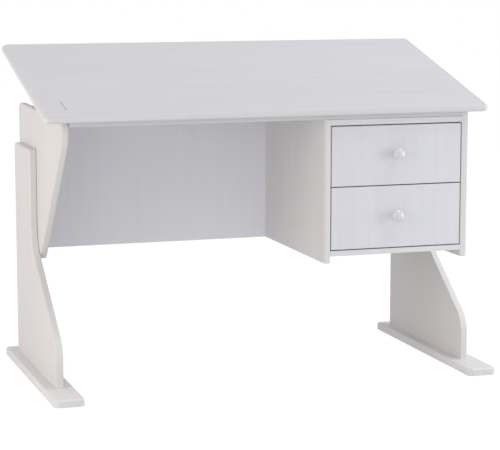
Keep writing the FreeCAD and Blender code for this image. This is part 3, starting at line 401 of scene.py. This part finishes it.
SIDES = ("left_", "right_")
DRAWERS = ("upper_drawer_", "lower_drawer_")
FINISHES = {
    top_pine: ["tabletop"],
    upright_pine: each(SIDES, "leg", "side"),
    divider_pine_painted_light: ["drawer_divider"],
    panel_pine_painted_light: ["modesty_panel"],
    front_pine: each(DRAWERS, "front"),
    foot_pine: each(SIDES, "foot"),
    rail_pine_painted_shade: ["front_rail"],
    shelf_pine: ["case_bottom_board", "case_top_board"],
    drawer_pine: each(DRAWERS, "back", "left_side", "right_side"),
    runner_beech: each(DRAWERS, "left_runner", "right_runner"),
    peg_beech: ["foot_dowels", "frame_dowels", *each(DRAWERS, "dowels")],
    knob_lacquer(): each(DRAWERS, "knob"),
    drawer_board(): each(DRAWERS, "bottom"),
    grip_plastic(): each(SIDES, "stay_knob"),
    nickel: ["hinge_lower_leaves", "hinge_upper_leaves", "hinge_pins", "stay_brackets",
             *each(SIDES, "stay_arm")],
    cast: ["cam_locks"],
    brass: ["stay_inserts"],
    anodised: each(SIDES, "height_track"),
}
dressed = {node: material for material, names in FINISHES.items() for node in names}
for node, piece in pieces.items():
    # Screws, bolts, studs and nuts are zinc
    for slot in piece.material_slots:
        slot.material = dressed.get(node, zinc)

# Floor and studio, in metres
FLOOR_HALF = 9.0
FLOOR_DROP = 0.0005
FLOOR_PAINT = (0.8, 0.8, 0.8, 1.0)
FLOOR_SHADED = (0.2, 0.2, 0.2, 1.0)
FLOOR_GLOW = 0.90
AIR_COLOUR = (0.97, 0.985, 1.0, 1.0)
AIR_STRENGTH = 0.62
WHITE = (1, 1, 1, 1)

# Each lamp: its place, what it points at, its watts, its width and height, and its colour
LAMPS = {
    "high_key": ((1.7, -0.8, 4.3), (0, 0, 0.4), 65.0, (2.0, 2.0), (0.95, 1.0, 1.0)),
    "left_fill": ((-2.3, -0.7, 0.8), (-0.4, 0, 0.4), 18.0, (2.0, 1.2), (1.0, 0.95, 0.84)),
    "front_fill": ((-2.6, -4.4, 0.8), (0, 0, 0.4), 9.5, (2.4, 1.4), (0.7, 0.92, 1.0)),
    "right_fill": ((2.85, -1.4, 0.6), (0.3, -0.2, 0.45), 23.0, (0.8, 1.4), (0.96, 0.96, 1.0)),
}

# The photograph's viewpoint: image and lens in pixels, the place of the eye in metres, and where it looks
IMAGE_WIDTH = 500
LENS_PIXELS = 1824.43
SENSOR_WIDTH = 36.0
EYE_PLACE = (-1.37397, -4.27298, 1.02328)
EYE_YAW, EYE_PITCH = math.radians(18.0009), math.radians(8.5006)
EYE_FARTHEST = 100.0


def background_rays(start):
    """1 for the rays that show the background:
    those of the camera, of a reflection and through a clear piece."""
    seen = start.node("LightPath", output="Is Camera Ray")
    for ray in ("Is Glossy Ray", "Is Transmission Ray"):
        seen = seen.apply("MAXIMUM", start.node("LightPath", output=ray))
    return seen


def studio_floor():
    """A plain pale floor that shows white to the eye and still takes the desk's shadow."""
    mesh = bpy.data.meshes.new("studio_floor")
    shape = bmesh.new()
    bmesh.ops.create_grid(shape, x_segments=1, y_segments=1, size=FLOOR_HALF)
    bmesh.ops.translate(shape, verts=shape.verts, vec=(0, 0, -FLOOR_DROP))
    shape.to_mesh(mesh)
    shape.free()
    floor = bpy.data.objects.new("studio_floor", mesh)
    bpy.context.scene.collection.objects.link(floor)
    material, start = finish("floor_white")
    paint = start.node("BsdfDiffuse", inputs={"Color": FLOOR_PAINT})
    shaded = start.node("BsdfDiffuse", inputs={"Color": FLOOR_SHADED})
    glow = start.node("Emission", inputs={"Color": WHITE, "Strength": FLOOR_GLOW})
    shown = start.node("AddShader", inputs={0: shaded, 1: glow})
    surface = start.node("MixShader", inputs={0: background_rays(start), 1: paint, 2: shown})
    start.node("OutputMaterial", inputs={"Surface": surface})
    mesh.materials.append(material)


def studio_air():
    """Even light from all round, and plain white where the camera or a reflection sees past the floor."""
    world = bpy.data.worlds.new("studio")
    bpy.context.scene.world = world
    world.use_nodes = True
    world.node_tree.nodes.clear()
    start = Shade(world.node_tree)
    air = start.node("Background", inputs={"Color": AIR_COLOUR, "Strength": AIR_STRENGTH})
    white = start.node("Background", inputs={"Color": WHITE, "Strength": 1.0})
    surface = start.node("MixShader", inputs={0: background_rays(start), 1: air, 2: white})
    start.node("OutputWorld", inputs={"Surface": surface})


def lamp(name, place, target, power, size, colour):
    data = bpy.data.lights.new(name, "AREA")
    data.energy = power
    data.shape = "RECTANGLE"
    data.size, data.size_y = size
    data.color = colour
    made = bpy.data.objects.new(name, data)
    bpy.context.scene.collection.objects.link(made)
    made.visible_camera = False
    made.location = place
    made.rotation_euler = (Vector(target) - Vector(place)).to_track_quat("-Z", "Y").to_euler()


def viewpoint():
    data = bpy.data.cameras.new("viewpoint")
    data.sensor_width = SENSOR_WIDTH
    data.lens = LENS_PIXELS / IMAGE_WIDTH * SENSOR_WIDTH
    data.clip_end = EYE_FARTHEST
    eye = bpy.data.objects.new("viewpoint", data)
    bpy.context.scene.collection.objects.link(eye)
    eye.location = EYE_PLACE
    eye.rotation_euler = (math.pi / 2 - EYE_PITCH, 0, -EYE_YAW)
    bpy.context.scene.camera = eye


studio_floor()
studio_air()
for lamp_name, settings in LAMPS.items():
    lamp(lamp_name, *settings)
viewpoint()
bpy.context.scene.view_settings.view_transform = "Standard"
